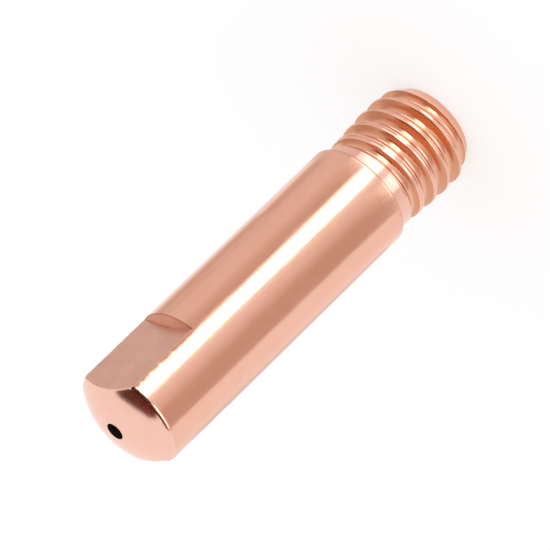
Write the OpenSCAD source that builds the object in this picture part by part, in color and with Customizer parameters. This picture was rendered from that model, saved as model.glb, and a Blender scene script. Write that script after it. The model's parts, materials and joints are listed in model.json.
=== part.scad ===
// Contact tip for a wire-fed welding torch, turned and rolled from one copper bar.
// It stands on its threaded end: the origin is the centre of that end face, and +Z
// runs along the wire bore to the domed nose. Millimetres.

/* [Body] */
// Overall length, from the threaded end to the mouth of the wire bore
length = 25; // [22:0.5:30]
// Diameter of the drawn bar that the body keeps
body_d = 6; // [5.8:0.1:6.6]
// Radius of the ball-shaped nose
nose_r = 4.8; // [4:0.1:8]
// Width of the edge break where the body ends at the shoulder
shoulder_break = 0.1; // [0.05:0.05:0.2]

/* [Wire bore] */
// Diameter of the bore that guides the wire and passes the current to it
bore_d = 1; // [0.8:0.1:1.6]
// Diameter of the funnel that leads the wire in at the threaded end
lead_in_d = 2.4; // [1.8:0.1:3]
// Included angle of that funnel
lead_in_angle = 60; // [45:5:90]

/* [Spanner flats] */
// Distance across the two flats
flats_across = 4.7; // [4.3:0.1:5.4]
// Length of the flats, from the mouth of the bore to the end of their run-out
flats_len = 5.6; // [4:0.1:8]
// Height of the sloped wall where a flat runs out into the bar
flats_runout = 0.28; // [0.1:0.02:0.6]

/* [Thread] */
// Distance from the threaded end to the shoulder
thread_len = 5.9; // [5:0.1:8]
// Diameter over the thread crests
thread_d = 5.84; // [5.7:0.02:5.98]
// Axial distance from crest to crest
pitch = 1; // [0.8:0.05:1.2]
// Included angle between the thread's flanks
flank_angle = 60; // [55:1:65]
// Width of the crests where they stand at their full height
crest_w = 0.18; // [0.1:0.02:0.24]
// Width of the thread's rounded bottom
root_w = 0.38; // [0.3:0.02:0.42]
// Depth by which the bottom is rounded below its two corners
root_round = 0.1; // [0.05:0.01:0.14]
// Height of the groove's middle where it crosses the +X side, as a share of the pitch
groove_phase = 0.26; // [0:0.02:0.6]
// Diameter of the plain neck between the thread and the shoulder
neck_d = 5.44; // [5.2:0.02:5.6]
// Length of that neck
neck_len = 0.7; // [0.5:0.05:1]
// Length over which the crests fall from their full height to the neck
crest_fade_len = 2.6; // [1.5:0.1:3]
// Diameter of the flat ring at the threaded end
end_d = 4.8; // [4.6:0.05:5.2]
// Length of the chamfer that starts the thread
end_chamfer_len = 0.9; // [0.6:0.02:1.2]

/* [Hidden] */

copper = [0.86, 0.56, 0.42];
round_fn = 128;
steps_per_turn = 40;
over = 0.2;

body_r = body_d / 2;
bore_r = bore_d / 2;
lead_in_r = lead_in_d / 2;
crest_r = thread_d / 2;
neck_r = neck_d / 2;
end_r = end_d / 2;
flat_y = flats_across / 2;

// The ball's centre lies so that its surface meets the bore at the full length
ball_z = length - sqrt(nose_r * nose_r - bore_r * bore_r);
neck_z = thread_len - neck_len;
full_crest_z = neck_z - crest_fade_len;
flats_end_z = length - flats_len;
flat_depth = body_r - flat_y;

// The flanks run at their angle between the crest's width and the root's
flank_slope = tan(flank_angle / 2);
root_r = crest_r - (pitch - crest_w - root_w) / 2 / flank_slope;
// The groove's section reaches past the crests, to where half of their width is left
groove_r = crest_r + crest_w / 4 / flank_slope;
// The groove starts below the end face and rises out of the bar beside the neck
first_turn = -1.3;
last_turn = (neck_z + neck_len / 4) / pitch - groove_phase;
runout_turns = 0.5;
first_step = floor(first_turn * steps_per_turn);
last_step = floor(last_turn * steps_per_turn);
runout_lift = neck_r - root_r + root_round + over / 2;

// Half of the turned outline: thread blank, neck, shoulder, bar and ball nose
module turned_outline() {
    polygon([
        [0, 0],
        [end_r, 0],
        [crest_r, end_chamfer_len],
        [crest_r, full_crest_z],
        [neck_r, neck_z],
        [neck_r, thread_len],
        [body_r - shoulder_break, thread_len],
        [body_r, thread_len + shoulder_break],
        [body_r, ball_z],
        [0, ball_z]
    ]);
    translate([0, ball_z]) intersection() {
        circle(r = nose_r);
        square([body_r, nose_r]);
    }
}

// How far the groove has risen out of the bar at a step along the helix
function groove_lift(step) =
    let (left = (last_step - step) / steps_per_turn / runout_turns)
    left < 1 ? runout_lift * (1 - left) * (1 - left) : 0;

// Radius and axial offset of the corners of the groove's section
function groove_section(lift) =
    let (
        bottom = root_r + lift,
        half_bottom = root_w / 2,
        half_top = half_bottom + (groove_r - bottom) * flank_slope
    )
    [
        [groove_r, -half_top],
        [bottom, -half_bottom],
        [bottom - root_round, 0],
        [bottom, half_bottom],
        [groove_r, half_top]
    ];

// The section set in its place on the right-hand helix
function groove_ring(step) =
    let (turn = step / steps_per_turn, angle = 360 * turn)
    [for (corner = groove_section(groove_lift(step)))
        [
            corner[0] * cos(angle),
            corner[0] * sin(angle),
            (turn + groove_phase) * pitch + corner[1]
        ]
    ];

// The space between the thread's turns, swept along the helix
module thread_groove() {
    corners = len(groove_section(0));
    rings = last_step - first_step + 1;
    points = [for (step = [first_step:last_step]) each groove_ring(step)];
    sides = [
        for (ring = [0:rings - 2], corner = [0:corners - 1])
            let (
                a = ring * corners + corner,
                b = ring * corners + (corner + 1) % corners
            )
            each [[b, a, a + corners], [b, a + corners, b + corners]]
    ];
    first_cap = [for (corner = [0:corners - 1]) corner];
    last_cap = [for (corner = [1:corners]) rings * corners - corner];
    polyhedron(points = points, faces = concat([first_cap, last_cap], sides));
}

// Bore through the whole length, with the funnel at the threaded end
module wire_bore() {
    funnel_slope = tan(lead_in_angle / 2);
    funnel_tip_r = bore_r / 2;
    translate([0, 0, -over])
        cylinder(h = length + 2 * over, r = bore_r, $fn = round_fn);
    translate([0, 0, -over])
        cylinder(
            h = over + (lead_in_r - funnel_tip_r) / funnel_slope,
            r1 = lead_in_r + over * funnel_slope,
            r2 = funnel_tip_r,
            $fn = round_fn
        );
}

// What is milled off one side: a flat whose end wall slopes all round, as a cone does
module spanner_flat() {
    difference() {
        translate([-body_r, flat_y, flats_end_z - flats_runout])
            cube([body_d, flat_depth + over, flats_len + flats_runout + over]);
        translate([0, 0, flats_end_z - flats_runout])
            cylinder(
                h = 3 * flats_runout,
                r1 = body_r + flat_depth,
                r2 = body_r - 2 * flat_depth,
                $fn = round_fn
            );
    }
}

module contact_tip() {
    color(copper) difference() {
        rotate_extrude($fn = round_fn) turned_outline();
        thread_groove();
        wire_bore();
        for (side = [0, 180]) rotate([0, 0, side]) spanner_flat();
    }
}

contact_tip();
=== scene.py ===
"""Copper welding contact tip: its finished mesh, its finishes, the studio and the camera."""
import json
import logging
import math
from dataclasses import dataclass, field
from enum import Enum
from typing import Any, Callable, Dict, List, Optional, Sequence, Tuple

import bmesh
import bpy
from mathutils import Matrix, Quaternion, Vector, noise


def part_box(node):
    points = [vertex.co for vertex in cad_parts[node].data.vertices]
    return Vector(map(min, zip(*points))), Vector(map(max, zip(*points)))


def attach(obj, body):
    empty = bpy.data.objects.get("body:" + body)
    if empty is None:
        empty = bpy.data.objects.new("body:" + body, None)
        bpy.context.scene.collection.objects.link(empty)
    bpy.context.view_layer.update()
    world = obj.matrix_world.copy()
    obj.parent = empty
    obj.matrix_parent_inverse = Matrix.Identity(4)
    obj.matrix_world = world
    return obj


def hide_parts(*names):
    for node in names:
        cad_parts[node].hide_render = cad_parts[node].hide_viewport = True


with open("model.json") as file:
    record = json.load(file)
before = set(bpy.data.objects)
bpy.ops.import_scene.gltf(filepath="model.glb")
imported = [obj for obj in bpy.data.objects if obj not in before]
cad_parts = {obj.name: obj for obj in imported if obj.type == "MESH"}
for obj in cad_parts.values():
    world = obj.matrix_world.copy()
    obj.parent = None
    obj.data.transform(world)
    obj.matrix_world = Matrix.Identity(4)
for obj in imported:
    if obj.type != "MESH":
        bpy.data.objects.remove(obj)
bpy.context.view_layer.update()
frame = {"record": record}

MM = 0.001
MERGE = 1e-4
TIP_NODE = "contact_tip"
BODY = "root"
AXIS = (0.0, 0.0, 1.0)
FULL_TURN = 360.0
# Numbers of a mix node's sockets for each kind of value: from, to and result
MIX_SOCKETS = {"RGBA": (6, 7, 2), "FLOAT": (2, 3, 0)}
# Powers by which paper that isn't bright dims in red, green and blue
DIM_PAPER_POWERS = (1.0, 1.5, 1.8)

Rgb = Tuple[float, float, float]
log = logging.getLogger("contact tip")


def mount(name: str) -> Dict[str, Any]:
    """Find one of the record's mounts.

    Args:
        name: The mount's name in the record.

    Returns:
        The mount as the record states it.
    """
    return next(entry for entry in frame["record"]["mounts"] if entry["name"] == name)


def mix(start: float, end: float, share: float) -> float:
    """Blend two numbers, from start at a share of 0 to end at 1."""
    return start + (end - start) * share


def shares(count: int) -> List[float]:
    """Evenly spaced shares after 0, up to and with 1."""
    return [(step + 1) / count for step in range(count)]


def chain_value(points: Sequence[Tuple[float, float]], place: float) -> float:
    """Read a chain of straight lines.

    Args:
        points: Corners of the chain as (place, value), in rising order of place.
        place: Where to read it.

    Returns:
        The value there, and beyond the ends the end's own value.
    """
    if place <= points[0][0]:
        return points[0][1]
    for (start, low), (end, high) in zip(points, points[1:]):
        if place <= end:
            return mix(low, high, (place - start) / (end - start))
    return points[-1][1]


def polar(vert: bmesh.types.BMVert) -> Tuple[float, float]:
    """Angle and radius of a vertex about the bore's axis."""
    return math.atan2(vert.co.y, vert.co.x), math.hypot(vert.co.x, vert.co.y)


def set_polar(vert: bmesh.types.BMVert, angle: float, radius: float, height: float) -> None:
    """Put a vertex at an angle and radius about the bore's axis, and at a height."""
    vert.co = (radius * math.cos(angle), radius * math.sin(angle), height)


def direction(azimuth: float, elevation: float = 0.0) -> Vector:
    """Unit vector towards an azimuth and an elevation, both in degrees."""
    turn, lift = math.radians(azimuth), math.radians(elevation)
    return Vector((math.cos(lift) * math.cos(turn), math.cos(lift) * math.sin(turn), math.sin(lift)))


def open_edges(bm: bmesh.types.BMesh, height: float) -> List[bmesh.types.BMEdge]:
    """Find the edges of the holes that lie at one height.

    Args:
        bm: The mesh.
        height: The height that both ends of an edge have.

    Returns:
        The edges that have a face on one side only.
    """
    def level(vert: bmesh.types.BMVert) -> bool:
        """Whether a vertex lies at the height."""
        return abs(vert.co.z - height) < MERGE

    return [edge for edge in bm.edges if edge.is_boundary and all(level(vert) for vert in edge.verts)]


def add_node(
    tree: bpy.types.NodeTree, kind: str, inputs: Optional[Dict[Any, Any]] = None, **settings: Any
) -> bpy.types.Node:
    """Add a shader node with its settings, values and links.

    Args:
        tree: The node tree it goes into.
        kind: Blender's name for the kind of node.
        inputs: Socket names or numbers, each with a value or with the output socket to link from.
        **settings: Properties of the node itself.

    Returns:
        The new node.
    """
    node = tree.nodes.new(kind)
    for name, value in settings.items():
        setattr(node, name, value)
    for key, value in (inputs or {}).items():
        if isinstance(value, bpy.types.NodeSocket):
            tree.links.new(value, node.inputs[key])
        else:
            node.inputs[key].default_value = value
    return node


def mix_node(
    tree: bpy.types.NodeTree, kind: str, share: bpy.types.NodeSocket, start: Any, end: Any
) -> bpy.types.NodeSocket:
    """Add a node that mixes two colours or two numbers.

    Args:
        tree: The node tree it goes into.
        kind: RGBA for colours, FLOAT for numbers.
        share: Output socket that says how much of the end there is.
        start: Value or output socket at a share of 0.
        end: Value or output socket at a share of 1.

    Returns:
        The output socket with the mixture.
    """
    first, second, result = MIX_SOCKETS[kind]
    node = add_node(tree, "ShaderNodeMix", {0: share, first: start, second: end}, data_type=kind)
    return node.outputs[result]


def radius_node(
    tree: bpy.types.NodeTree, place: bpy.types.NodeSocket, scale: float
) -> bpy.types.NodeSocket:
    """Add nodes that measure the distance from the bore's axis.

    Args:
        tree: The node tree they go into.
        place: Output socket with the place.
        scale: Number that the distance is multiplied by.

    Returns:
        The output socket with the radius.
    """
    flat = add_node(tree, "ShaderNodeVectorMath", {0: place, 1: (scale, scale, 0.0)}, operation="MULTIPLY")
    radius = add_node(tree, "ShaderNodeVectorMath", {0: flat.outputs["Vector"]}, operation="LENGTH")
    return radius.outputs["Value"]


def new_group(name: str, inputs: Dict[str, str], outputs: Dict[str, str]) -> bpy.types.NodeTree:
    """Make an empty group of shader nodes with its sockets.

    Args:
        name: Name of the group.
        inputs: Kind of each input, by the input's name.
        outputs: Kind of each output, by the output's name.

    Returns:
        The group.
    """
    group = bpy.data.node_groups.new(name, "ShaderNodeTree")
    for in_out, sockets in (("INPUT", inputs), ("OUTPUT", outputs)):
        for socket, kind in sockets.items():
            group.interface.new_socket(socket, in_out=in_out, socket_type=f"NodeSocket{kind}")
    return group


def empty_material(name: str) -> bpy.types.Material:
    """Make a material without nodes.

    Args:
        name: Name of the material.

    Returns:
        The material, whose node tree is empty.
    """
    material = bpy.data.materials.new(name)
    material.use_nodes = True
    material.node_tree.nodes.clear()
    return material


def finish_mesh(bm: bmesh.types.BMesh, name: str) -> bpy.types.Object:
    """Turn a mesh in millimetres into an object in metres, in the scene.

    Args:
        bm: The mesh, which is freed.
        name: Name of the object.

    Returns:
        The object, at the origin.
    """
    bmesh.ops.scale(bm, vec=(MM, MM, MM), verts=bm.verts)
    mesh = bpy.data.meshes.new(name)
    bm.to_mesh(mesh)
    bm.free()
    piece = bpy.data.objects.new(name, mesh)
    bpy.context.scene.collection.objects.link(piece)
    return piece


class Finish(Enum):
    """The ways in which the copper's surface was made."""

    DRAWN_BAR = 0
    MILLED_FLAT = 1
    TURNED_NOSE = 2
    ROLLED_THREAD = 3
    DRILLED_BORE = 4
    RUN_OUT_WALL = 5
    SHOULDER_EDGE = 6


class GrainLay(Enum):
    """How a finish's fine marks run."""

    STRAIGHT = "straight"
    RINGS = "rings"


class ShadeGuide(Enum):
    """What decides how deep the painted shade is at a place on the tip."""

    RADIUS = "radius"
    SLOPE = "slope"


class MetalGroups:
    """Shader node groups that all the finishes share."""

    def __init__(self) -> None:
        """Build both groups once."""
        self.grain = self.build_grain()
        self.tarnish = self.build_tarnish()

    @staticmethod
    def build_grain() -> bpy.types.NodeTree:
        """Fine marks that a tool or a die leaves, stretched by a scale for each direction.

        Returns:
            A group that takes a place in millimetres and puts out the marks as a value.
        """
        group = new_group("Tool marks", {"Place": "Vector", "Marks per mm": "Vector"}, {"Marks": "Float"})
        source = add_node(group, "NodeGroupInput")
        scaled = add_node(
            group,
            "ShaderNodeVectorMath",
            {0: source.outputs["Place"], 1: source.outputs["Marks per mm"]},
            operation="MULTIPLY",
        )
        marks = add_node(
            group,
            "ShaderNodeTexNoise",
            {"Vector": scaled.outputs["Vector"], "Scale": 1.0, "Detail": 4.0, "Roughness": 0.6},
        )
        add_node(group, "NodeGroupOutput", {"Marks": marks.outputs["Fac"]})
        return group

    @staticmethod
    def build_tarnish() -> bpy.types.NodeTree:
        """Soft clouds of tarnish over clean copper.

        Returns:
            A group that takes a place in millimetres, two colours and an amount, and puts out a colour.
        """
        group = new_group(
            "Tarnish",
            {"Place": "Vector", "Clean": "Color", "Tarnished": "Color", "Amount": "Float"},
            {"Color": "Color"},
        )
        source = add_node(group, "NodeGroupInput")
        clouds = add_node(
            group,
            "ShaderNodeTexNoise",
            {"Vector": source.outputs["Place"], "Scale": 0.9, "Detail": 5.0, "Roughness": 0.65},
        )
        strength = add_node(
            group,
            "ShaderNodeMapRange",
            {"Value": clouds.outputs["Fac"], "From Min": 0.35, "From Max": 0.7, "To Min": 0.0,
             "To Max": source.outputs["Amount"]},
            interpolation_type="SMOOTHSTEP",
        )
        blend = mix_node(
            group, "RGBA", strength.outputs["Result"], source.outputs["Clean"], source.outputs["Tarnished"]
        )
        add_node(group, "NodeGroupOutput", {"Color": blend})
        return group


@dataclass(frozen=True)
class PaintedShade:
    """Painted shade: a duller colour and roughness whose depth follows the radius in millimetres, or how
    far the surface faces the nose.

    Its stops are pairs of such a measure and the depth there, from 0 to 1.
    """

    color: Rgb
    roughness: float
    guide: ShadeGuide
    stops: Tuple[Tuple[float, float], ...]

    def measure(self, tree: bpy.types.NodeTree, coordinates: bpy.types.Node) -> bpy.types.NodeSocket:
        """Measure what guides the painted shade.

        Args:
            tree: The material's node tree.
            coordinates: Its texture coordinates.

        Returns:
            The radius, or the share of the surface's normal that points to the nose.
        """
        if self.guide is ShadeGuide.SLOPE:
            parts = add_node(tree, "ShaderNodeSeparateXYZ", {"Vector": coordinates.outputs["Normal"]})
            return parts.outputs["Z"]
        return radius_node(tree, coordinates.outputs["Object"], 1.0 / MM)

    def depth(self, tree: bpy.types.NodeTree, coordinates: bpy.types.Node) -> bpy.types.NodeSocket:
        """Grade the painted shade between its stops.

        Args:
            tree: The material's node tree.
            coordinates: Its texture coordinates.

        Returns:
            How deep the painted shade is, from 0 to 1.
        """
        first, last = self.stops[0][0], self.stops[-1][0]
        share = add_node(
            tree,
            "ShaderNodeMapRange",
            {"Value": self.measure(tree, coordinates), "From Min": first, "From Max": last},
        )
        grade = add_node(tree, "ShaderNodeValToRGB", {"Fac": share.outputs["Result"]})
        elements = grade.color_ramp.elements
        for place, amount in self.stops[1:-1]:
            elements.new((place - first) / (last - first)).color = (amount, amount, amount, 1.0)
        for element, (_, amount) in ((elements[0], self.stops[0]), (elements[-1], self.stops[-1])):
            element.color = (amount, amount, amount, 1.0)
        return grade.outputs["Color"]


@dataclass(frozen=True)
class CopperFinish:
    """One finish of the copper, with its colours in linear light and its marks in millimetres."""

    name: str
    clean: Rgb
    tarnished: Rgb
    tarnish: float
    roughness: Tuple[float, float]
    marks_per_mm: Tuple[float, float, float]
    mark_depth: float
    lay: GrainLay = GrainLay.STRAIGHT
    metallic: float = 1.0
    painted_shades: Tuple[PaintedShade, ...] = ()

    def material(self, groups: MetalGroups) -> bpy.types.Material:
        """Build the finish as a material.

        Args:
            groups: The shared node groups.

        Returns:
            The material, which reads Object coordinates.
        """
        material = empty_material(self.name)
        tree = material.node_tree
        coordinates = add_node(tree, "ShaderNodeTexCoord")
        place = add_node(
            tree,
            "ShaderNodeVectorMath",
            {0: coordinates.outputs["Object"], "Scale": 1.0 / MM},
            operation="SCALE",
        ).outputs["Vector"]
        marks = add_node(
            tree,
            "ShaderNodeGroup",
            {"Place": self.mark_place(tree, place), "Marks per mm": self.marks_per_mm},
            node_tree=groups.grain,
        )
        color = add_node(
            tree,
            "ShaderNodeGroup",
            {"Place": place, "Clean": (*self.clean, 1.0), "Tarnished": (*self.tarnished, 1.0),
             "Amount": self.tarnish},
            node_tree=groups.tarnish,
        )
        roughness = add_node(
            tree,
            "ShaderNodeMapRange",
            {"Value": marks.outputs["Marks"], "From Min": 0.3, "From Max": 0.7,
             "To Min": self.roughness[0], "To Max": self.roughness[1]},
        )
        surface_color, surface_roughness = color.outputs["Color"], roughness.outputs["Result"]
        # Lay each painted shade over the copper's own colour and roughness
        for painted_shade in self.painted_shades:
            depth = painted_shade.depth(tree, coordinates)
            surface_color = mix_node(tree, "RGBA", depth, surface_color, (*painted_shade.color, 1.0))
            surface_roughness = mix_node(tree, "FLOAT", depth, surface_roughness, painted_shade.roughness)
        relief = add_node(
            tree,
            "ShaderNodeBump",
            {"Height": marks.outputs["Marks"], "Strength": 1.0, "Distance": self.mark_depth * MM},
        )
        shader = add_node(
            tree,
            "ShaderNodeBsdfPrincipled",
            {"Base Color": surface_color, "Metallic": self.metallic,
             "Roughness": surface_roughness, "Normal": relief.outputs["Normal"]},
        )
        add_node(tree, "ShaderNodeOutputMaterial", {"Surface": shader.outputs["BSDF"]})
        return material

    def mark_place(self, tree: bpy.types.NodeTree, place: bpy.types.NodeSocket) -> bpy.types.NodeSocket:
        """Lay the marks straight, or in rings about the bore.

        Args:
            tree: The material's node tree.
            place: The place on the tip, in millimetres.

        Returns:
            The place that the marks are read at.
        """
        if self.lay is GrainLay.STRAIGHT:
            return place
        parts = add_node(tree, "ShaderNodeSeparateXYZ", {"Vector": place})
        rings = add_node(
            tree,
            "ShaderNodeCombineXYZ",
            {"X": radius_node(tree, place, 1.0), "Y": parts.outputs["X"], "Z": parts.outputs["Y"]},
        )
        return rings.outputs["Vector"]


# Colours of the copper, in linear light
CLEAN_COPPER: Rgb = (0.885, 0.5, 0.38)
WARM_COPPER: Rgb = (0.8, 0.41, 0.28)
DULL_COPPER: Rgb = (0.79, 0.525, 0.43)
ROSE_COPPER: Rgb = (0.74, 0.43, 0.34)
PALE_COPPER: Rgb = (0.93, 0.57, 0.46)
# Painted shade: near black down the bore, where the hole is in shade
BORE_SHADE_COPPER: Rgb = (0.03, 0.018, 0.012)
SALMON_COPPER: Rgb = (0.62, 0.27, 0.175)
# Painted shade: darker copper on the shoulder's rounded edge, for the dark line that the edge shows
SHOULDER_SHADE_COPPER: Rgb = (0.72, 0.36, 0.26)
# Painted shade: deep orange on the flanks that face the nose, standing in for the darker light between the
# copper walls of the groove
FLANK_SHADE = PaintedShade(
    (0.68, 0.3, 0.17), 0.22, ShadeGuide.SLOPE, ((0.3, 0.0), (0.55, 0.5), (0.75, 0.95), (1.0, 0.95))
)
# Painted shade by facing: a matte orange on the faces that look towards the threaded end, set by which way
# they face and not by what they reflect
UNDERSIDE_PAINTED_SHADE = PaintedShade(
    (0.8, 0.49, 0.28), 0.8, ShadeGuide.SLOPE, ((-1.0, 1.0), (-0.8, 1.0), (-0.6, 0.0), (0.0, 0.0))
)
# Painted shade: deeper orange towards the bottom of the groove, standing in for copper reflecting copper
# there
ROOT_SHADE = PaintedShade(
    (0.78, 0.36, 0.21), 0.22, ShadeGuide.RADIUS, ((2.45, 0.6), (2.56, 0.5), (2.68, 0.0), (3.0, 0.0))
)
# Painted shade: dark lines along the wall's foot, where it meets the flat, and along its top edge
WALL_EDGE_SHADE = PaintedShade(
    (0.16, 0.05, 0.025),
    0.4,
    ShadeGuide.RADIUS,
    ((2.35, 0.35), (2.5, 0.0), (2.92, 0.0), (2.97, 0.5), (3.0, 0.5)),
)
FINISHES: Dict[Finish, CopperFinish] = {
    Finish.DRAWN_BAR: CopperFinish(
        "drawn bar", CLEAN_COPPER, WARM_COPPER, 0.2, (0.13, 0.2), (7.0, 7.0, 0.7), 0.002
    ),
    Finish.MILLED_FLAT: CopperFinish(
        "milled flat", DULL_COPPER, ROSE_COPPER, 0.7, (0.36, 0.46), (3.0, 9.0, 9.0), 0.004
    ),
    Finish.TURNED_NOSE: CopperFinish(
        "turned nose", PALE_COPPER, WARM_COPPER, 0.08, (0.13, 0.18), (9.0, 0.3, 0.3), 0.001, GrainLay.RINGS
    ),
    # The thread carries painted shade: deeper orange in its grooves and on its flanks, and a matte orange
    # on its undersides
    Finish.ROLLED_THREAD: CopperFinish(
        "rolled thread", PALE_COPPER, WARM_COPPER, 0.25, (0.12, 0.2), (3.0, 3.0, 6.0), 0.0015,
        painted_shades=(ROOT_SHADE, FLANK_SHADE, UNDERSIDE_PAINTED_SHADE),
    ),
    # The bore is painted near black: painted shade in the hole
    Finish.DRILLED_BORE: CopperFinish(
        "drilled bore", BORE_SHADE_COPPER, BORE_SHADE_COPPER, 0.0, (0.45, 0.6), (4.0, 4.0, 12.0), 0.003, metallic=0.5
    ),
    Finish.RUN_OUT_WALL: CopperFinish(
        "run-out wall", SALMON_COPPER, WARM_COPPER, 0.3, (0.28, 0.36), (5.0, 5.0, 9.0), 0.003,
        painted_shades=(WALL_EDGE_SHADE,),
    ),
    # The shoulder's rounded edge is painted darker: painted shade
    Finish.SHOULDER_EDGE: CopperFinish(
        "shoulder edge", SHOULDER_SHADE_COPPER, WARM_COPPER, 0.3, (0.28, 0.36), (6.0, 6.0, 3.0), 0.003
    ),
}


@dataclass
class RolledThread:
    """Right-hand thread with its neck and its chamfered end, in millimetres."""

    length: float
    pitch: float = 1.0
    crest_r: float = 2.92
    crest_w: float = 0.18
    neck_r: float = 2.72
    neck_len: float = 0.7
    end_r: float = 2.4
    end_chamfer_len: float = 0.9
    crest_fade_len: float = 2.6
    upper_flank: float = math.radians(26)
    lower_flank: float = math.radians(30)
    root_round: float = 0.3
    crest_round: float = 0.01
    seam_depth: float = 0.03
    seam_w: float = 0.04
    # Share of the seam's depth by height
    seam_fade: Tuple[Tuple[float, float], ...] = ((4.6, 1.0), (5.0, 0.0))
    groove_phase: float = 0.275
    runout_turns: float = 0.5
    runout_lift: float = 0.38
    # Share of the neck, from the shoulder, at which the groove has left the bar
    runout_end: float = 0.75
    # Turns by which the sweep starts early, before it is cut off at the end face
    lead_turns: float = 1.5
    steps_per_turn: int = 80
    # Shares of the pitch from the groove's bottom, with the number of columns up to each
    column_stops: Tuple[Tuple[float, int], ...] = ((0.16, 8), (0.28, 4), (0.44, 13), (0.5, 4))

    def foot_w(self, flank: float) -> float:
        """Offset at which a flank, drawn on to the level of the groove's bottom, would stand."""
        return self.root_round * (math.cos(flank) - (1.0 - math.sin(flank)) * math.tan(flank))

    def groove_rise(self, offset: float) -> float:
        """Find how high the groove's wall stands above its bottom.

        Args:
            offset: Distance from the groove's bottom along the axis, towards the nose.

        Returns:
            The height of the wall there, away from the axis.
        """
        flank = self.upper_flank if offset > 0.0 else self.lower_flank
        if abs(offset) < self.root_round * math.cos(flank):
            return self.root_round - math.sqrt(self.root_round**2 - offset**2)
        return (abs(offset) - self.foot_w(flank)) / math.tan(flank)

    @property
    def depth(self) -> float:
        """Depth of the groove below the full crests.

        Returns:
            The depth at which the two flanks leave the crest its width.
        """
        flanks = (self.upper_flank, self.lower_flank)
        feet_w = sum(self.foot_w(flank) for flank in flanks)
        return (self.pitch - self.crest_w - feet_w) / sum(math.tan(flank) for flank in flanks)

    @property
    def crest_mid(self) -> float:
        """Offset of a crest's middle from the bottom of the groove below it."""
        upper_w = self.foot_w(self.upper_flank) + self.depth * math.tan(self.upper_flank)
        return upper_w + self.crest_w / 2

    def column_places(self) -> List[float]:
        """Places of the columns over one pitch, closest where the flanks meet the crest.

        Returns:
            Shares of the pitch from 0 to 1, from the middle of one crest to the next.
        """
        half = [0.0]
        for stop, count in self.column_stops:
            start = half[-1]
            half += [mix(start, stop, share) for share in shares(count)]
        return [0.5 - place for place in reversed(half)] + [0.5 + place for place in half[1:]]

    def blank_radius(self, height: float) -> float:
        """Find the radius that the bar was turned to before the thread was rolled.

        Args:
            height: Height above the end face.

        Returns:
            The radius there.
        """
        neck_z = self.length - self.neck_len
        outline = (
            (0.0, self.end_r),
            (self.end_chamfer_len, self.crest_r),
            (neck_z - self.crest_fade_len, self.crest_r),
            (neck_z, self.neck_r),
        )
        return chain_value(outline, height)

    def groove_lift(self, turn: float) -> float:
        """Find how far the groove has risen out of the bar, in its last turn before the neck.

        Args:
            turn: Turns of the helix, counted from +X at the end face.

        Returns:
            The rise of the groove's bottom.
        """
        last_turn = (self.length - self.neck_len * self.runout_end) / self.pitch - self.groove_phase
        run = max(0.0, 1.0 - (last_turn - turn) / self.runout_turns)
        return self.runout_lift * run * run

    def surface_radius(self, angle: float, height: float) -> float:
        """Radius of the thread's surface, with a round root and softly broken crests.

        Args:
            angle: Angle about the axis, from +X.
            height: Height above the end face.

        Returns:
            The radius there.
        """
        turn = angle / math.tau
        along = height / self.pitch - self.groove_phase - turn
        groove = round(along)
        offset = (along - groove) * self.pitch
        bottom = self.crest_r - self.depth + self.groove_lift(groove + turn)
        wall = bottom + self.groove_rise(offset)
        seam_depth = self.seam_depth * chain_value(self.seam_fade, height)
        off_seam = (offset - self.crest_mid + self.pitch / 2) % self.pitch - self.pitch / 2
        seam = seam_depth * math.exp(-((off_seam / self.seam_w) ** 2))
        crest = self.blank_radius(height) - seam
        return (wall + crest - math.hypot(wall - crest, self.crest_round)) / 2

    def build(self, bm: bmesh.types.BMesh) -> None:
        """Sweep the thread into an empty mesh, cut off at the end face and at the shoulder.

        Args:
            bm: The mesh that it goes into.
        """
        first_z = (self.groove_phase - self.lead_turns) * self.pitch
        turns = math.ceil((self.length - first_z) / self.pitch)
        chain = [
            bm.verts.new((self.crest_r, 0.0, first_z + place * self.pitch))
            for place in self.column_places()
        ]
        edges = [bm.edges.new(pair) for pair in zip(chain, chain[1:])]
        bmesh.ops.spin(
            bm,
            geom=chain + edges,
            cent=(0.0, 0.0, 0.0),
            axis=AXIS,
            dvec=(0.0, 0.0, self.pitch / self.steps_per_turn),
            angle=turns * math.tau,
            steps=turns * self.steps_per_turn,
            use_merge=False,
        )
        bmesh.ops.remove_doubles(bm, verts=bm.verts, dist=MERGE)
        for height, side in ((0.0, "clear_inner"), (self.length, "clear_outer")):
            bmesh.ops.bisect_plane(
                bm,
                geom=bm.verts[:] + bm.edges[:] + bm.faces[:],
                dist=MERGE,
                plane_co=(0.0, 0.0, height),
                plane_no=AXIS,
                **{side: True},
            )
        for vert in bm.verts:
            angle, _ = polar(vert)
            set_polar(vert, angle, self.surface_radius(angle, vert.co.z), vert.co.z)


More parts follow.
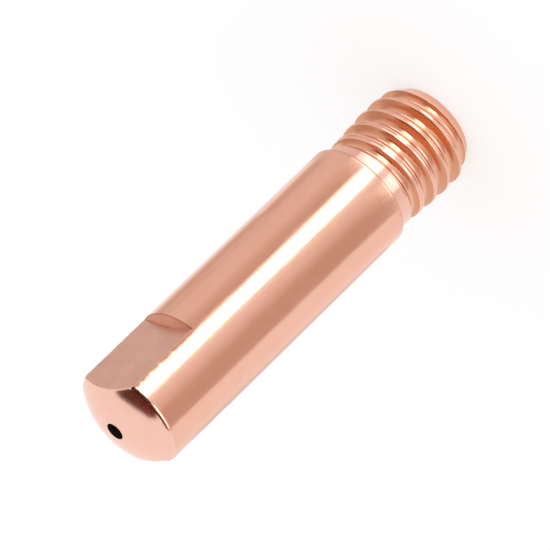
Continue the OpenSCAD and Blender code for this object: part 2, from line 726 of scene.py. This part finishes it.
@dataclass
class TurnedBar:
    """Bar with its shoulder, ball nose, spanner flats, bore and funnel, in millimetres."""

    length: float
    body_r: float
    bore_r: float
    flat_y: float
    shoulder_z: float
    nose_r: float = 4.8
    shoulder_break: float = 0.15
    shoulder_land: float = 0.075
    flats_len: float = 5.6
    flats_runout: float = 0.28
    lead_in_r: float = 1.2
    lead_in_slope: float = math.tan(math.radians(30))
    rim_break: float = 0.14
    crease_break: float = 0.04
    edge_steps: int = 4
    burr: float = 0.035
    burrs_per_mm: float = 5.0
    flat_columns: int = 24
    side_columns: int = 40
    body_rings: int = 8
    milled_rings: int = 44
    nose_rings: int = 16
    bore_rings: int = 12

    @property
    def flats_end_z(self) -> float:
        """Height at which the flats have run out into the bar."""
        return self.length - self.flats_len

    @property
    def crease_angle(self) -> float:
        """Angle from the X axis to the creases where a flat meets the round bar."""
        return math.asin(self.flat_y / self.body_r)

    def round_radius(self, angle: float) -> float:
        """Radius of the bar where it is round all about."""
        return self.body_r

    def milled_radius(self, angle: float) -> float:
        """Radius of the bar beside the flats, which face -Y and +Y."""
        return min(self.body_r, self.flat_y / max(abs(math.sin(angle)), MERGE))

    def ball_height(self, radius: float) -> float:
        """Height of the ball nose at a radius."""
        foot = self.length - math.sqrt(self.nose_r**2 - self.bore_r**2)
        return foot + math.sqrt(self.nose_r**2 - radius**2)

    def wall_height(self, radius: float) -> float:
        """Height of the sloped wall that ends a flat, at a radius."""
        slope = self.flats_runout / (self.body_r - self.flat_y)
        return self.flats_end_z + (self.body_r - radius) * slope

    def columns(self) -> List[float]:
        """Angles of the mesh's columns, with one on each crease.

        Returns:
            Angles in order about the axis.
        """
        angles = []
        for flat in (-math.pi / 2, math.pi / 2):
            spread = math.pi / 2 - self.crease_angle
            angles += [flat + mix(-spread, spread, share) for share in shares(self.flat_columns)]
            side, reach = flat + math.pi / 2, self.crease_angle
            angles += [side + mix(-reach, reach, share) for share in shares(self.side_columns)]
        return angles

    def stations(self) -> List[Tuple[Callable[[float], float], Callable[[float], float]]]:
        """Rings of the mesh, from the shoulder up the outside and down the bore to the funnel's mouth.

        Returns:
            For each ring the radius by angle, and the height by radius.
        """
        rings = []
        edge = self.shoulder_break
        for share in shares(self.edge_steps):
            turn = share * math.pi / 2
            rings.append((
                lambda angle, turn=turn: self.body_r - edge + edge * math.sin(turn),
                lambda radius, turn=turn: self.shoulder_z + edge - edge * math.cos(turn),
            ))
        foot = self.shoulder_z + edge + self.shoulder_land
        rings.append((self.round_radius, lambda radius: foot))
        for share in shares(self.body_rings):
            rings.append((
                self.round_radius,
                lambda radius, share=share: mix(foot, self.flats_end_z, share),
            ))
        rings.append((self.milled_radius, self.wall_height))
        for share in shares(self.milled_rings):
            rings.append((
                self.milled_radius,
                lambda radius, share=share: mix(
                    self.wall_height(radius), self.ball_height(radius) - 2 * self.rim_break, share
                ),
            ))
        rings.append((self.milled_radius, self.ball_height))
        for share in shares(self.nose_rings):
            rings.append((
                lambda angle, share=share: mix(self.milled_radius(angle), self.bore_r, share),
                self.ball_height,
            ))
        funnel_z = (self.lead_in_r - self.bore_r) / self.lead_in_slope
        for share in shares(self.bore_rings):
            rings.append((
                lambda angle: self.bore_r,
                lambda radius, share=share: mix(self.length, funnel_z, share),
            ))
        rings.append((lambda angle: self.lead_in_r, lambda radius: 0.0))
        return rings

    def build(self, bm: bmesh.types.BMesh) -> None:
        """Raise the bar ring by ring, then break the edges of the nose and the flats.

        Args:
            bm: The mesh that it is added to.
        """
        angles = self.columns()
        ring = bmesh.ops.create_circle(bm, segments=len(angles), radius=self.body_r)["verts"]
        for vert, angle in zip(ring, angles):
            set_polar(vert, angle, self.body_r - self.shoulder_break, self.shoulder_z)
        made = set(ring)
        for radius_at, height_at in self.stations():
            edges = {edge for vert in ring for edge in vert.link_edges if edge.other_vert(vert) in ring}
            grown = bmesh.ops.extrude_edge_only(bm, edges=list(edges))["geom"]
            ring = {item for item in grown if isinstance(item, bmesh.types.BMVert)}
            for vert in ring:
                angle, _ = polar(vert)
                radius = radius_at(angle)
                set_polar(vert, angle, radius, height_at(radius))
            made |= ring
        bmesh.ops.remove_doubles(bm, verts=list(made), dist=MERGE)
        for is_broken, width in ((self.is_rim, self.rim_break), (self.is_crease, self.crease_break)):
            bmesh.ops.bevel(
                bm,
                geom=[edge for edge in bm.edges if is_broken(edge)],
                offset=width,
                offset_type="OFFSET",
                affect="EDGES",
                segments=self.edge_steps,
                profile=0.5,
                material=-1,
            )
        self.roughen(bm)

    def on_ball(self, vert: bmesh.types.BMVert) -> bool:
        """Tell whether a vertex lies on the outer edge of the ball nose.

        Args:
            vert: A vertex of the mesh in millimetres.

        Returns:
            True where the ball meets the round bar or a flat.
        """
        angle, radius = polar(vert)
        if radius > self.body_r + MERGE:
            return False
        at_edge = abs(radius - self.milled_radius(angle)) < MERGE
        return at_edge and abs(vert.co.z - self.ball_height(radius)) < MERGE

    def on_flat(self, vert: bmesh.types.BMVert) -> bool:
        """Whether a vertex lies in the plane of a flat."""
        return abs(abs(vert.co.y) - self.flat_y) < MERGE and vert.co.z > self.flats_end_z - MERGE

    def is_rim(self, edge: bmesh.types.BMEdge) -> bool:
        """Whether an edge lies on the nose's rim, where the ball meets the round bar."""
        on_nose = all(self.on_ball(vert) for vert in edge.verts)
        return on_nose and not all(self.on_flat(vert) for vert in edge.verts)

    def is_crease(self, edge: bmesh.types.BMEdge) -> bool:
        """Tell whether an edge lies where a flat meets the ball or the round bar.

        Args:
            edge: An edge of the mesh in millimetres.

        Returns:
            True along the outline of a flat.
        """
        on_bar = all(abs(polar(vert)[1] - self.body_r) < MERGE for vert in edge.verts)
        on_nose = all(self.on_ball(vert) for vert in edge.verts)
        return all(self.on_flat(vert) for vert in edge.verts) and (on_bar or on_nose)

    def on_shoulder_ring(self, edge: bmesh.types.BMEdge) -> bool:
        """Whether an edge lies at the height of the shoulder."""
        return all(abs(vert.co.z - self.shoulder_z) < MERGE for vert in edge.verts)

    def roughen(self, bm: bmesh.types.BMesh) -> None:
        """Let the creases beside the flats and the nose's rim wander a little, as cutters leave them.

        Args:
            bm: The mesh, with its edges broken.
        """
        rim_z = self.ball_height(self.body_r)
        crease_reach, rim_reach = 2 * self.crease_break, 2 * self.rim_break
        for vert in bm.verts:
            angle, radius = polar(vert)
            off_crease = math.hypot(radius - self.body_r, abs(vert.co.y) - self.flat_y)
            if vert.co.z > self.flats_end_z + self.flats_runout and off_crease < crease_reach:
                place = Vector((vert.co.z * self.burrs_per_mm, round(angle / math.pi, 1), 0.0))
                vert.co.x += self.burr * noise.noise(place) * (1.0 - off_crease / crease_reach)
            off_rim = math.hypot(radius - self.body_r, vert.co.z - rim_z)
            if off_rim < rim_reach:
                place = Vector((angle * self.body_r * self.burrs_per_mm, 0.0, 1.0))
                vert.co.z += self.burr / 2 * noise.noise(place) * (1.0 - off_rim / rim_reach)


@dataclass
class ContactTip:
    """The whole tip: one piece of copper with its finishes."""

    bar: TurnedBar
    thread: RolledThread
    sharp_angle: float = math.radians(32)
    # Least share of a face's normal along +Z, or along Y for the flats, that tells its finish
    nose_facing: float = 0.2
    wall_facing: float = 0.8
    flat_facing: float = 0.98
    groups: MetalGroups = field(default_factory=MetalGroups)

    @classmethod
    def from_frame(cls) -> "ContactTip":
        """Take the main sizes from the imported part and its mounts.

        Returns:
            The tip, ready to be built.
        """
        _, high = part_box(TIP_NODE)
        shoulder_z = mount("shoulder_seat")["pos_m"][2] / MM
        bar = TurnedBar(
            length=high.z / MM,
            body_r=high.x / MM,
            bore_r=mount("wire_bore")["dims"]["r_mm"],
            flat_y=mount("spanner_flat_back")["pos_m"][1] / MM,
            shoulder_z=shoulder_z,
        )
        return cls(bar, RolledThread(length=shoulder_z))

    def build(self) -> bpy.types.Object:
        """Model the tip as one closed mesh.

        Returns:
            The object, whose faces carry the number of their finish.
        """
        bm = bmesh.new()
        self.thread.build(bm)
        self.bar.build(bm)
        for height in (0.0, self.bar.shoulder_z):
            bmesh.ops.triangle_fill(bm, use_beauty=True, edges=open_edges(bm, height))
        bmesh.ops.recalc_face_normals(bm, faces=bm.faces)
        for face in bm.faces:
            face.smooth = True
            face.material_index = self.finish_of(face).value
        for edge in bm.edges:
            is_blunt = edge.calc_face_angle(0.0) < self.sharp_angle
            edge.smooth = is_blunt and not self.bar.on_shoulder_ring(edge)
        piece = finish_mesh(bm, "copper_tip")
        smooth = piece.modifiers.new("even shading", "WEIGHTED_NORMAL")
        smooth.keep_sharp = True
        return piece

    def finish_of(self, face: bmesh.types.BMFace) -> Finish:
        """Say which finish a face has, from where it lies.

        Args:
            face: A face of the mesh in millimetres.

        Returns:
            Its finish.
        """
        bar = self.bar
        centre = face.calc_center_median()
        radius = math.hypot(centre.x, centre.y)
        if radius < bar.bore_r or (centre.z > MERGE and radius < bar.lead_in_r):
            inside_nose = centre.z > bar.flats_end_z and radius > bar.bore_r
            return Finish.TURNED_NOSE if inside_nose else Finish.DRILLED_BORE
        if centre.z < bar.shoulder_z - MERGE:
            return Finish.ROLLED_THREAD
        if centre.z < bar.shoulder_z + bar.shoulder_break:
            return Finish.SHOULDER_EDGE
        if centre.z > bar.flats_end_z + bar.flats_runout and face.normal.z > self.nose_facing:
            return Finish.TURNED_NOSE
        if centre.z > bar.flats_end_z and face.normal.z > self.wall_facing:
            return Finish.RUN_OUT_WALL
        faces_side = abs(face.normal.y) > self.flat_facing
        if centre.z > bar.flats_end_z and abs(centre.y) < bar.flat_y + MERGE and faces_side:
            return Finish.MILLED_FLAT
        return Finish.DRAWN_BAR

    def dress(self, piece: bpy.types.Object) -> None:
        """Give the tip its finishes and put it in its node's place.

        Args:
            piece: The tip's object.
        """
        for finish in Finish:
            piece.data.materials.append(FINISHES[finish].material(self.groups))
        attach(piece, BODY)
        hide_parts(TIP_NODE)


@dataclass
class PhotoCamera:
    """The photograph's camera: it looks at the tip's side, a little from the nose's end."""

    aim_z: float = 12.568
    aim_side: float = 0.045
    distance: float = 235.6
    elevation: float = 27.49
    azimuth: float = -147.0
    roll: float = -134.12
    focal_px: float = 4666.0
    picture_px: float = 550.0
    clip_share: float = 0.05

    def build(self) -> bpy.types.Object:
        """Make the scene's camera.

        Returns:
            The camera object.
        """
        lens = bpy.data.cameras.new("photo camera")
        lens.lens = self.focal_px / self.picture_px * lens.sensor_width
        lens.clip_start = self.distance * MM * self.clip_share
        camera = bpy.data.objects.new("photo camera", lens)
        bpy.context.scene.collection.objects.link(camera)
        back = direction(self.azimuth, self.elevation)
        aim = direction(self.azimuth + FULL_TURN / 4) * self.aim_side + Vector(AXIS) * self.aim_z
        camera.location = (aim + back * self.distance) * MM
        level = back.to_track_quat("Z", "Y")
        camera.rotation_mode = "QUATERNION"
        camera.rotation_quaternion = level @ Quaternion(AXIS, math.radians(self.roll))
        bpy.context.scene.camera = camera
        return camera


# Sections of the cards as radius and height, in millimetres
FLOOR_NEAR = ((5.2, 0.04), (13.5, 0.04))
FLOOR_AT_CRESTS = ((5.2, 0.04), (9.0, 0.04))
FLOOR_AT_NECK = ((9.1, 0.04), (13.5, 0.04))
FLOOR_MIDDLE = ((13.6, 0.04), (48.0, 0.04))
FLOOR_FAR = ((13.6, 0.04), (110.0, 0.04), (150.0, 40.0), (150.0, 200.0))
THREAD_BACK = ((10.0, 7.0), (10.0, 20.0))
NOSE_FRONT = ((24.0, 25.5), (22.0, 36.0), (14.0, 42.0), (9.0, 45.0))
NOSE_RIGHT = ((20.0, 30.0), (17.0, 34.5), (14.0, 36.2))
NOSE_ABOVE = ((20.0, 30.0), (17.0, 35.5), (13.0, 40.0), (8.5, 45.0))
NOSE_LEVEL = ((20.0, 20.5), (20.0, 29.5))


@dataclass(frozen=True)
class ReflectorCard:
    """A sheet of paper round the tip that only its reflections show.

    Its azimuths are in degrees from the camera's side, anticlockwise from above, and its tones are
    spread evenly from its start to its end.
    """

    name: str
    start: float
    end: float
    tones: Tuple[float, ...]
    profile: Tuple[Tuple[float, float], ...] = FLOOR_FAR
    steps: int = 48

    @staticmethod
    def paper(tone: float) -> Rgb:
        """Find the colour of the paper: white when bright, tan when dim.

        Args:
            tone: How bright the paper is, where 1 is white.

        Returns:
            Its colour in linear light.
        """
        if tone >= 1.0:
            return (tone, tone, tone)
        red, green, blue = (tone**power for power in DIM_PAPER_POWERS)
        return (red, green, blue)

    def build(self, view_azimuth: float) -> bpy.types.Object:
        """Spin the card's section round the tip.

        Args:
            view_azimuth: The camera's azimuth in degrees.

        Returns:
            The card, seen by glossy rays only.
        """
        bm = bmesh.new()
        first = math.radians(view_azimuth + self.start)
        chain = [
            bm.verts.new((radius * math.cos(first), radius * math.sin(first), height))
            for radius, height in self.profile
        ]
        edges = [bm.edges.new(pair) for pair in zip(chain, chain[1:])]
        bmesh.ops.spin(
            bm,
            geom=chain + edges,
            cent=(0.0, 0.0, 0.0),
            axis=AXIS,
            angle=math.radians(self.end - self.start),
            steps=self.steps,
            use_merge=False,
        )
        layer = bm.verts.layers.float_color.new("tone")
        stops = [(index / (len(self.tones) - 1), tone) for index, tone in enumerate(self.tones)]
        for vert in bm.verts:
            angle, _ = polar(vert)
            past_start = math.degrees(angle) - view_azimuth - self.start
            turned = (past_start + FULL_TURN / 2) % FULL_TURN - FULL_TURN / 2
            tone = chain_value(stops, turned / (self.end - self.start))
            vert[layer] = (*self.paper(tone), 1.0)
        card = finish_mesh(bm, self.name)
        card.data.materials.append(toned_light(self.name))
        show_to_reflections_only(card)
        return card


def toned_light(name: str) -> bpy.types.Material:
    """Build a material of even light in the tones that a mesh carries.

    Args:
        name: Name of the material.

    Returns:
        The material, which reads the attribute "tone".
    """
    material = empty_material(name)
    tree = material.node_tree
    tone = add_node(tree, "ShaderNodeAttribute", attribute_name="tone")
    light = add_node(tree, "ShaderNodeEmission", {"Color": tone.outputs["Color"], "Strength": 1.0})
    add_node(tree, "ShaderNodeOutputMaterial", {"Surface": light.outputs["Emission"]})
    return material


def show_to_reflections_only(piece: bpy.types.Object) -> None:
    """Hide a stage piece from all rays but the glossy ones.

    Args:
        piece: The card or cloth.
    """
    piece.visible_camera = False
    piece.visible_diffuse = False
    piece.visible_shadow = False
    piece.visible_transmission = False
    piece.visible_volume_scatter = False


@dataclass
class Studio:
    """White floor, soft light all round, and cards that shape the reflections."""

    view_azimuth: float
    floor_r: float = 1500.0
    floor_z: float = -0.02
    floor_glow: float = 0.6
    floor_segments: int = 96
    softbox_tone: float = 2.6
    softbox_size: Tuple[float, float] = (120.0, 56.0)
    softbox_distance: float = 200.0
    softbox_azimuth: float = -32.0
    softbox_elevation: float = 9.0
    flag_z: float = 90.0
    flag_corners: Tuple[Tuple[float, float], ...] = (
        (-22.0, 34.0), (-16.7, 24.0), (-9.1, 11.2), (-3.4, -2.9), (-1.5, -18.3), (3.0, -24.0),
        (26.0, -28.0), (26.0, 36.0), (-20.0, 36.0),
    )
    flag_tones: Tuple[Rgb, Rgb] = ((0.17, 0.02, 0.015), (0.1, 0.034, 0.014))
    flag_tone_span: Tuple[float, float] = (-18.0, 8.0)
    flag_cuts: int = 6
    cards: Tuple[ReflectorCard, ...] = (
        ReflectorCard("right_edge_card", -180.0, -132.0, (0.92, 0.86, 0.79, 0.85, 1.0), FLOOR_MIDDLE),
        ReflectorCard("right_card", -72.0, -3.0, (0.66, 0.63, 0.64, 0.83, 0.98)),
        ReflectorCard("key_strip", 3.8, 28.6, (3.0, 3.0)),
        ReflectorCard("left_card", 33.0, 126.0, (0.6, 0.72, 0.85, 0.85, 0.82, 0.68, 0.78)),
        ReflectorCard("thread_right_card", -175.0, -46.0, (1.0, 1.0, 1.0, 0.96, 0.88), FLOOR_NEAR),
        ReflectorCard("crest_fill", -44.0, -12.0, (2.0, 2.7, 2.1), FLOOR_AT_CRESTS),
        ReflectorCard("neck_fill", -44.0, -12.0, (1.5, 2.1, 1.7), FLOOR_AT_NECK),
        ReflectorCard("thread_gap", -11.0, 4.0, (0.95, 0.95), FLOOR_NEAR),
        ReflectorCard("crest_key", 5.0, 58.0, (1.95, 1.95, 1.75, 1.25), FLOOR_AT_CRESTS),
        ReflectorCard("neck_key", 5.0, 58.0, (2.3, 2.4, 2.0, 1.2), FLOOR_AT_NECK),
        ReflectorCard("thread_left_card", 60.0, 150.0, (0.78, 0.82, 0.82, 0.78), FLOOR_NEAR),
        ReflectorCard("thread_back_card", 95.0, 126.0, (0.82, 0.68, 0.78), THREAD_BACK),
        ReflectorCard("front_flag", -10.0, 52.0, (0.05, 0.05), NOSE_FRONT),
        ReflectorCard("patch_flag", -46.0, -10.0, (0.12, 0.05), NOSE_ABOVE),
        ReflectorCard("rim_flag", -70.0, -46.0, (0.3, 0.05), NOSE_RIGHT),
        ReflectorCard("lip_card", -64.0, -14.0, (1.2, 1.9, 2.2), NOSE_LEVEL),
    )

    def build(self) -> List[bpy.types.Object]:
        """Set up the studio.

        Returns:
            The floor, the cards and the flag, which aren't part of the object.
        """
        self.light_world()
        self.hang_softbox()
        pieces = [self.lay_floor(), self.hang_flag()]
        return pieces + [card.build(self.view_azimuth) for card in self.cards]

    @staticmethod
    def light_world() -> None:
        """Light the scene evenly with white."""
        world = bpy.data.worlds.new("white room")
        world.use_nodes = True
        tree = world.node_tree
        tree.nodes.clear()
        white = add_node(tree, "ShaderNodeBackground", {"Color": (1.0, 1.0, 1.0, 1.0), "Strength": 1.0})
        add_node(tree, "ShaderNodeOutputWorld", {"Surface": white.outputs["Background"]})
        bpy.context.scene.world = world

    def hang_softbox(self) -> None:
        """Hang one soft lamp low beside the camera."""
        width, height = (size * MM for size in self.softbox_size)
        lamp = bpy.data.lights.new("softbox", "AREA")
        lamp.shape = "RECTANGLE"
        lamp.size, lamp.size_y = width, height
        lamp.energy = self.softbox_tone * math.pi * width * height
        box = bpy.data.objects.new("softbox", lamp)
        bpy.context.scene.collection.objects.link(box)
        back = direction(self.view_azimuth + self.softbox_azimuth, self.softbox_elevation)
        box.location = back * self.softbox_distance * MM
        box.rotation_mode = "QUATERNION"
        box.rotation_quaternion = back.to_track_quat("Z", "Y")
        box.visible_camera = False

    def lay_floor(self) -> bpy.types.Object:
        """Lay the white floor, which glows in part so that the shadow on it stays soft.

        Returns:
            The floor.
        """
        bm = bmesh.new()
        bmesh.ops.create_circle(bm, cap_ends=True, segments=self.floor_segments, radius=self.floor_r)
        bmesh.ops.translate(bm, vec=(0.0, 0.0, self.floor_z), verts=bm.verts)
        floor = finish_mesh(bm, "floor")
        material = empty_material("white paper")
        tree = material.node_tree
        shade = 1.0 - self.floor_glow
        paper = add_node(tree, "ShaderNodeBsdfDiffuse", {"Color": (shade, shade, shade, 1.0)})
        glow = add_node(tree, "ShaderNodeEmission", {"Strength": self.floor_glow})
        both = add_node(
            tree, "ShaderNodeAddShader", {0: paper.outputs["BSDF"], 1: glow.outputs["Emission"]}
        )
        add_node(tree, "ShaderNodeOutputMaterial", {"Surface": both.outputs["Shader"]})
        floor.data.materials.append(material)
        return floor

    def hang_flag(self) -> bpy.types.Object:
        """Hang a dark cloth over the nose, whose edge the ball reflects as a dark patch.

        Its corners are given towards the camera and to the camera's right, in millimetres.

        Returns:
            The cloth.
        """
        bm = bmesh.new()
        towards = direction(self.view_azimuth)
        side = direction(self.view_azimuth + FULL_TURN / 4)
        lift = Vector(AXIS) * self.flag_z
        corners = [
            bm.verts.new(lift + towards * ahead + side * beside)
            for ahead, beside in self.flag_corners
        ]
        edges = [bm.edges.new(pair) for pair in zip(corners, corners[1:] + corners[:1])]
        bmesh.ops.triangle_fill(bm, use_beauty=True, edges=edges)
        bmesh.ops.subdivide_edges(bm, edges=bm.edges, cuts=self.flag_cuts, use_grid_fill=True)
        layer = bm.verts.layers.float_color.new("tone")
        low, high = self.flag_tone_span
        for vert in bm.verts:
            share = min(max((vert.co.dot(side) - low) / (high - low), 0.0), 1.0)
            vert[layer] = (*(mix(dim, lit, share) for dim, lit in zip(*self.flag_tones)), 1.0)
        flag = finish_mesh(bm, "overhead_flag")
        flag.data.materials.append(toned_light("dark cloth"))
        show_to_reflections_only(flag)
        return flag


def main() -> None:
    """Build the camera, the tip and the studio, and report each piece."""
    logging.basicConfig(level=logging.INFO, format="%(name)s: %(message)s")
    bpy.context.scene.view_settings.view_transform = "Standard"
    camera = PhotoCamera()
    log.info("camera %s", camera.build().name)
    tip = ContactTip.from_frame()
    piece = tip.build()
    tip.dress(piece)
    log.info("%s with %d faces", piece.name, len(piece.data.polygons))
    for finish in Finish:
        count = sum(face.material_index == finish.value for face in piece.data.polygons)
        log.info("%s on %d faces", FINISHES[finish].name, count)
    for prop in Studio(camera.azimuth).build():
        log.info("stage %s", prop.name)


if __name__ == "__main__":
    main()
